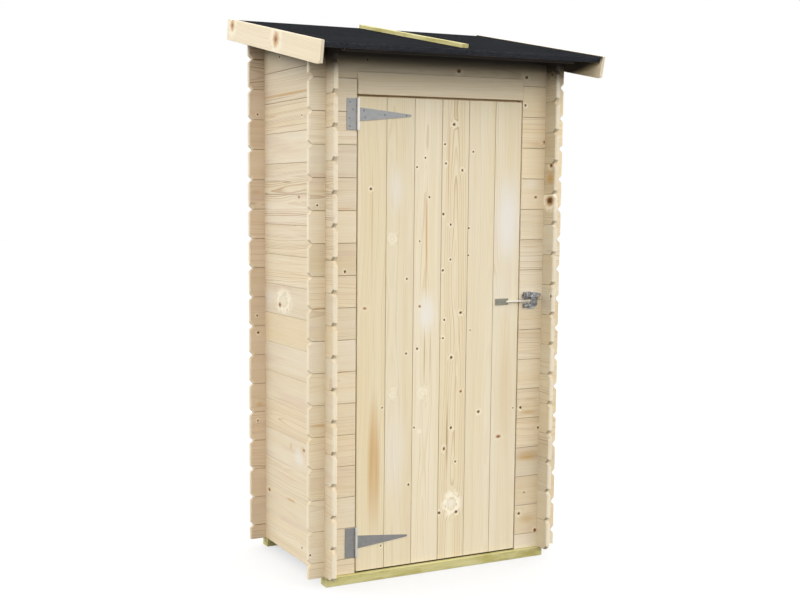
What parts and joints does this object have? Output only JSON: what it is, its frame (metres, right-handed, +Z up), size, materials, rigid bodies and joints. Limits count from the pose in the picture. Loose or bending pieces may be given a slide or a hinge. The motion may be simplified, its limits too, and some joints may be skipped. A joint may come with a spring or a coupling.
{
  "type": "pent garden shed",
  "caption": "Small wooden tool shed of notched interlocking boards with a felted single-slope roof, a hinged ledged door with a gate latch, and treated bearers.",
  "frame": {"origin": "on the ground under the middle of the plan, taken over the roof", "axes": "+Z up, the door and the low side of the roof face -Y, +X to the right seen from the door"},
  "size_m": [1.156, 0.8638, 2.1071],
  "materials": {
    "wall_boards": "planed, unpainted spruce",
    "door_boards": "planed, unpainted spruce",
    "barge_boards": "planed, unpainted spruce",
    "inner_timber": "sawn, unpainted spruce",
    "treated_timber": "pressure-treated, green",
    "felt": "mineral roofing felt",
    "galvanised_steel": "bright zinc"
  },
  "bodies": {
    "shed": {"front_bearer": "treated_timber", "back_bearer": "treated_timber", "floor_boards": "inner_timber", "left_wall": "wall_boards", "right_wall": "wall_boards", "back_wall": "wall_boards", "front_wall_left": "wall_boards", "front_wall_right": "wall_boards", "front_wall_top": "wall_boards", "door_head_board": "wall_boards", "door_head_stop": "inner_timber", "left_jamb_post": "inner_timber", "right_jamb_post": "inner_timber", "roof_deck": "inner_timber", "roof_felt": "felt", "roof_seam_batten": "treated_timber", "eave_batten": "inner_timber", "left_barge_board": "barge_boards", "right_barge_board": "barge_boards", "top_hinge_plate": "galvanised_steel", "bottom_hinge_plate": "galvanised_steel", "top_hinge_pin": "galvanised_steel", "bottom_hinge_pin": "galvanised_steel", "latch_catch": "galvanised_steel", "latch_pin": "galvanised_steel"},
    "door": {"door_leaf": "door_boards", "door_top_ledge": "inner_timber", "door_bottom_ledge": "inner_timber", "door_brace": "inner_timber", "top_hinge_strap": "galvanised_steel", "bottom_hinge_strap": "galvanised_steel", "latch_striker": "galvanised_steel"},
    "pawl": {"latch_pawl": "galvanised_steel"}
  },
  "joints": [
    {"name": "door_swing", "type": "hinge", "parent": "shed", "child": "door", "pos_m": [-0.3475, -0.25093, 0.92], "axis": [0, 0, -1], "range_deg": [0, 140]},
    {"name": "pawl_drop", "type": "hinge", "parent": "shed", "child": "pawl", "pos_m": [0.38, -0.26193, 1.031], "axis": [1, 0, 0], "range_deg": [0, 80]}
  ]
}
